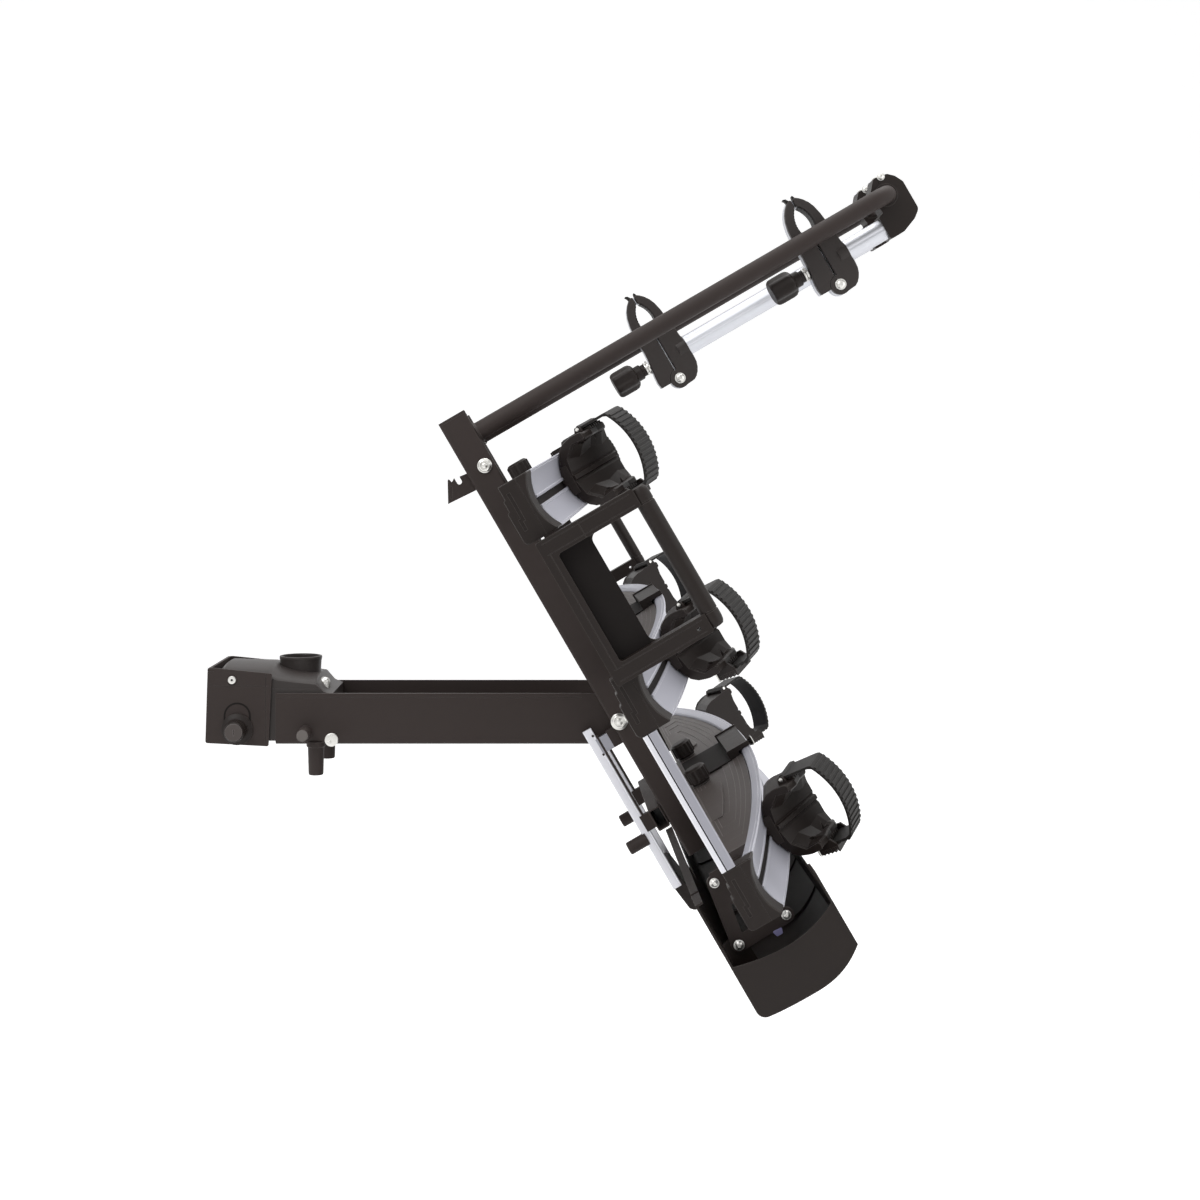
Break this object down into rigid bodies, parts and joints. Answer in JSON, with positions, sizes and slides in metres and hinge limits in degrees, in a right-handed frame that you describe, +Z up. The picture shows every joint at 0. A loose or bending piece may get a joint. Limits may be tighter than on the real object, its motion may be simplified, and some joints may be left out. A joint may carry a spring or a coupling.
{
  "type": "tow ball bicycle rack",
  "caption": "Tilting platform bicycle rack that clamps on a tow ball, with arched wheel trays, strap holders, clamp arms on a U-frame and a lamp board.",
  "frame": {"origin": "centre of the tow ball that the coupling clamps on", "axes": "+X points away from the car, +Z up, +Y to the far side, across the car"},
  "size_m": [0.9786, 1.2076, 1.0162],
  "materials": {
    "painted_steel": "satin black powder coat on steel, lightly warm",
    "cast_head": "die-cast head painted satin black",
    "black_plastic": "moulded black plastic, fine grain",
    "strap_plastic": "flexible black strap plastic",
    "tray_aluminium": "satin extruded aluminium",
    "bright_aluminium": "bright anodised aluminium tube",
    "zinc": "zinc plated steel fasteners"
  },
  "bodies": {
    "tongue": {"tongue_channel": "painted_steel", "coupling_head": "cast_head", "latch_pin": "zinc", "pivot_bolt": "zinc"},
    "coupling_lever": {"lever_housing": "painted_steel"},
    "lock_knob": {"lock_knob": "black_plastic"},
    "ball_jaw": {"ball_jaw": "zinc"},
    "platform": {"rail_near": "painted_steel", "rail_far": "painted_steel", "u_frame": "painted_steel", "pedal_frame": "bright_aluminium", "side_handle_near": "black_plastic", "side_handle_far": "black_plastic", "side_rail_near": "bright_aluminium", "side_rail_far": "bright_aluminium", "lamp_link_near": "painted_steel", "lamp_link_far": "painted_steel", "tray_1": "tray_aluminium", "tray_saddle_1": "black_plastic", "tray_cap_1_near": "black_plastic", "tray_cap_1_far": "black_plastic", "tray_2": "tray_aluminium", "tray_saddle_2": "black_plastic", "tray_cap_2_near": "black_plastic", "tray_cap_2_far": "black_plastic", "tray_3": "tray_aluminium", "tray_saddle_3": "black_plastic", "tray_cap_3_near": "black_plastic", "tray_cap_3_far": "black_plastic"},
    "latch_hook": {"latch_hook": "painted_steel"},
    "foot_pedal": {"foot_pedal": "black_plastic"},
    "lamp_board": {"lamp_board": "black_plastic"},
    "tray_knob_1_near": {"tray_knob_1_near": "black_plastic"},
    "wheel_holder_1_near": {"wheel_cradle_1_near": "black_plastic"},
    "wheel_strap_1_near": {"wheel_strap_1_near": "strap_plastic"},
    "tray_knob_1_far": {"tray_knob_1_far": "black_plastic"},
    "wheel_holder_1_far": {"wheel_cradle_1_far": "black_plastic"},
    "wheel_strap_1_far": {"wheel_strap_1_far": "strap_plastic"},
    "tray_knob_2_near": {"tray_knob_2_near": "black_plastic"},
    "wheel_holder_2_near": {"wheel_cradle_2_near": "black_plastic"},
    "wheel_strap_2_near": {"wheel_strap_2_near": "strap_plastic"},
    "tray_knob_2_far": {"tray_knob_2_far": "black_plastic"},
    "wheel_holder_2_far": {"wheel_cradle_2_far": "black_plastic"},
    "wheel_strap_2_far": {"wheel_strap_2_far": "strap_plastic"},
    "tray_knob_3_near": {"tray_knob_3_near": "black_plastic"},
    "wheel_holder_3_near": {"wheel_cradle_3_near": "black_plastic"},
    "wheel_strap_3_near": {"wheel_strap_3_near": "strap_plastic"},
    "tray_knob_3_far": {"tray_knob_3_far": "black_plastic"},
    "wheel_holder_3_far": {"wheel_cradle_3_far": "black_plastic"},
    "wheel_strap_3_far": {"wheel_strap_3_far": "strap_plastic"},
    "bike_arm_medium": {"top_clamp_medium": "black_plastic", "arm_tube_medium": "bright_aluminium", "upper_jaw_medium": "black_plastic"},
    "lower_jaw_medium": {"lower_jaw_medium": "black_plastic"},
    "clamp_knob_medium": {"clamp_knob_medium": "black_plastic"},
    "bike_arm_long": {"top_clamp_long": "black_plastic", "arm_tube_long": "bright_aluminium", "upper_jaw_long": "black_plastic"},
    "lower_jaw_long": {"lower_jaw_long": "black_plastic"},
    "clamp_knob_long": {"clamp_knob_long": "black_plastic"}
  },
  "joints": [
    {"name": "platform_tilt", "type": "hinge", "parent": "tongue", "child": "platform", "pos_m": [0.4446, 0, -0.0422], "axis": [0, -1, 0], "range_deg": [0, 59.83]},
    {"name": "coupling_lever_swing", "type": "hinge", "parent": "tongue", "child": "coupling_lever", "pos_m": [-0.084, 0, 0.0095], "axis": [0, 1, 0], "range_deg": [0, 60]},
    {"name": "ball_jaw_swing", "type": "hinge", "parent": "tongue", "child": "ball_jaw", "pos_m": [-0.052, 0, -0.001], "axis": [0, 1, 0], "range_deg": [0, 18]},
    {"name": "lock_knob_turn", "type": "hinge", "parent": "coupling_lever", "child": "lock_knob", "pos_m": [-0.0769, -0.0768, -0.058], "axis": [0, -1, 0], "range_deg": [0, 90]},
    {"name": "latch_hook_swing", "type": "hinge", "parent": "platform", "child": "latch_hook", "pos_m": [0.26306, -0.0945, 0.30292], "axis": [0, -1, 0], "range_deg": [0, 20]},
    {"name": "foot_pedal_press", "type": "hinge", "parent": "platform", "child": "foot_pedal", "pos_m": [0.52229, 0, -0.26539], "axis": [0, 1, 0], "range_deg": [0, 20], "stiffness_Nm_per_rad": 1.2, "springref_deg": -11.46},
    {"name": "lamp_board_tilt", "type": "hinge", "parent": "platform", "child": "lamp_board", "pos_m": [0.55628, 0, -0.23233], "axis": [0, 1, 0], "range_deg": [0, 12]},
    {"name": "bike_arm_medium_swing", "type": "hinge", "parent": "platform", "child": "bike_arm_medium", "pos_m": [0.81412, -0.051, 0.67519], "axis": [0, -1, 0], "range_deg": [0, 100]},
    {"name": "lower_jaw_medium_open", "type": "hinge", "parent": "bike_arm_medium", "child": "lower_jaw_medium", "pos_m": [0.75214, -0.051, 0.55298], "axis": [0, -1, 0], "range_deg": [0, 20]},
    {"name": "clamp_knob_medium_turn", "type": "hinge", "parent": "lower_jaw_medium", "child": "clamp_knob_medium", "pos_m": [0.70872, -0.051, 0.56938], "axis": [0.8645, 0, 0.5026], "continuous": true},
    {"name": "bike_arm_long_swing", "type": "hinge", "parent": "platform", "child": "bike_arm_long", "pos_m": [0.81412, 0.051, 0.67519], "axis": [0, -1, 0], "range_deg": [0, 100]},
    {"name": "lower_jaw_long_open", "type": "hinge", "parent": "bike_arm_long", "child": "lower_jaw_long", "pos_m": [0.54033, 0.051, 0.42985], "axis": [0, -1, 0], "range_deg": [0, 20]},
    {"name": "clamp_knob_long_turn", "type": "hinge", "parent": "lower_jaw_long", "child": "clamp_knob_long", "pos_m": [0.4969, 0.051, 0.44625], "axis": [0.8645, 0, 0.5026], "continuous": true},
    {"name": "tray_knob_1_near_turn", "type": "hinge", "parent": "platform", "child": "tray_knob_1_near", "pos_m": [0.3167, -0.105, 0.28725], "axis": [-0.5026, 0, 0.8645], "continuous": true},
    {"name": "wheel_holder_1_near_slide", "type": "hinge", "parent": "platform", "child": "wheel_holder_1_near", "pos_m": [-1.48924, 0, -0.79796], "axis": [0.5026, 0, -0.8645], "range_deg": [-3, 2.2]},
    {"name": "wheel_strap_1_near_open", "type": "hinge", "parent": "wheel_holder_1_near", "child": "wheel_strap_1_near", "pos_m": [0.39008, -0.37685, 0.34946], "axis": [-0.4191, -0.8746, -0.2436], "range_deg": [0, 90]},
    {"name": "tray_knob_1_far_turn", "type": "hinge", "parent": "platform", "child": "tray_knob_1_far", "pos_m": [0.3167, 0.105, 0.28725], "axis": [-0.5026, 0, 0.8645], "continuous": true},
    {"name": "wheel_holder_1_far_slide", "type": "hinge", "parent": "platform", "child": "wheel_holder_1_far", "pos_m": [-1.48924, 0, -0.79796], "axis": [0.5026, 0, -0.8645], "range_deg": [-2.2, 3]},
    {"name": "wheel_strap_1_far_open", "type": "hinge", "parent": "wheel_holder_1_far", "child": "wheel_strap_1_far", "pos_m": [0.39008, 0.37685, 0.34946], "axis": [0.4191, -0.8746, 0.2436], "range_deg": [0, 90]},
    {"name": "tray_knob_2_near_turn", "type": "hinge", "parent": "platform", "child": "tray_knob_2_near", "pos_m": [0.43641, -0.105, 0.08132], "axis": [-0.5026, 0, 0.8645], "continuous": true},
    {"name": "wheel_holder_2_near_slide", "type": "hinge", "parent": "platform", "child": "wheel_holder_2_near", "pos_m": [-1.36953, 0, -1.00389], "axis": [0.5026, 0, -0.8645], "range_deg": [-3, 2.2]},
    {"name": "wheel_strap_2_near_open", "type": "hinge", "parent": "wheel_holder_2_near", "child": "wheel_strap_2_near", "pos_m": [0.50979, -0.37685, 0.14352], "axis": [-0.4191, -0.8746, -0.2436], "range_deg": [0, 90]},
    {"name": "tray_knob_2_far_turn", "type": "hinge", "parent": "platform", "child": "tray_knob_2_far", "pos_m": [0.43641, 0.105, 0.08132], "axis": [-0.5026, 0, 0.8645], "continuous": true},
    {"name": "wheel_holder_2_far_slide", "type": "hinge", "parent": "platform", "child": "wheel_holder_2_far", "pos_m": [-1.36953, 0, -1.00389], "axis": [0.5026, 0, -0.8645], "range_deg": [-2.2, 3]},
    {"name": "wheel_strap_2_far_open", "type": "hinge", "parent": "wheel_holder_2_far", "child": "wheel_strap_2_far", "pos_m": [0.50979, 0.37685, 0.14352], "axis": [0.4191, -0.8746, 0.2436], "range_deg": [0, 90]},
    {"name": "tray_knob_3_near_turn", "type": "hinge", "parent": "platform", "child": "tray_knob_3_near", "pos_m": [0.55628, -0.105, -0.12487], "axis": [-0.5026, 0, 0.8645], "continuous": true},
    {"name": "wheel_holder_3_near_slide", "type": "hinge", "parent": "platform", "child": "wheel_holder_3_near", "pos_m": [-1.24966, 0, -1.21009], "axis": [0.5026, 0, -0.8645], "range_deg": [-3, 2.2]},
    {"name": "wheel_strap_3_near_open", "type": "hinge", "parent": "wheel_holder_3_near", "child": "wheel_strap_3_near", "pos_m": [0.62965, -0.37685, -0.06267], "axis": [-0.4191, -0.8746, -0.2436], "range_deg": [0, 90]},
    {"name": "tray_knob_3_far_turn", "type": "hinge", "parent": "platform", "child": "tray_knob_3_far", "pos_m": [0.55628, 0.105, -0.12487], "axis": [-0.5026, 0, 0.8645], "continuous": true},
    {"name": "wheel_holder_3_far_slide", "type": "hinge", "parent": "platform", "child": "wheel_holder_3_far", "pos_m": [-1.24966, 0, -1.21009], "axis": [0.5026, 0, -0.8645], "range_deg": [-2.2, 3]},
    {"name": "wheel_strap_3_far_open", "type": "hinge", "parent": "wheel_holder_3_far", "child": "wheel_strap_3_far", "pos_m": [0.62965, 0.37685, -0.06267], "axis": [0.4191, -0.8746, 0.2436], "range_deg": [0, 90]}
  ],
  "couplings": [
    {"joint": "ball_jaw_swing", "follows": "coupling_lever_swing", "ratio": 0.3},
    {"joint": "latch_hook_swing", "follows": "foot_pedal_press", "ratio": 1}
  ]
}
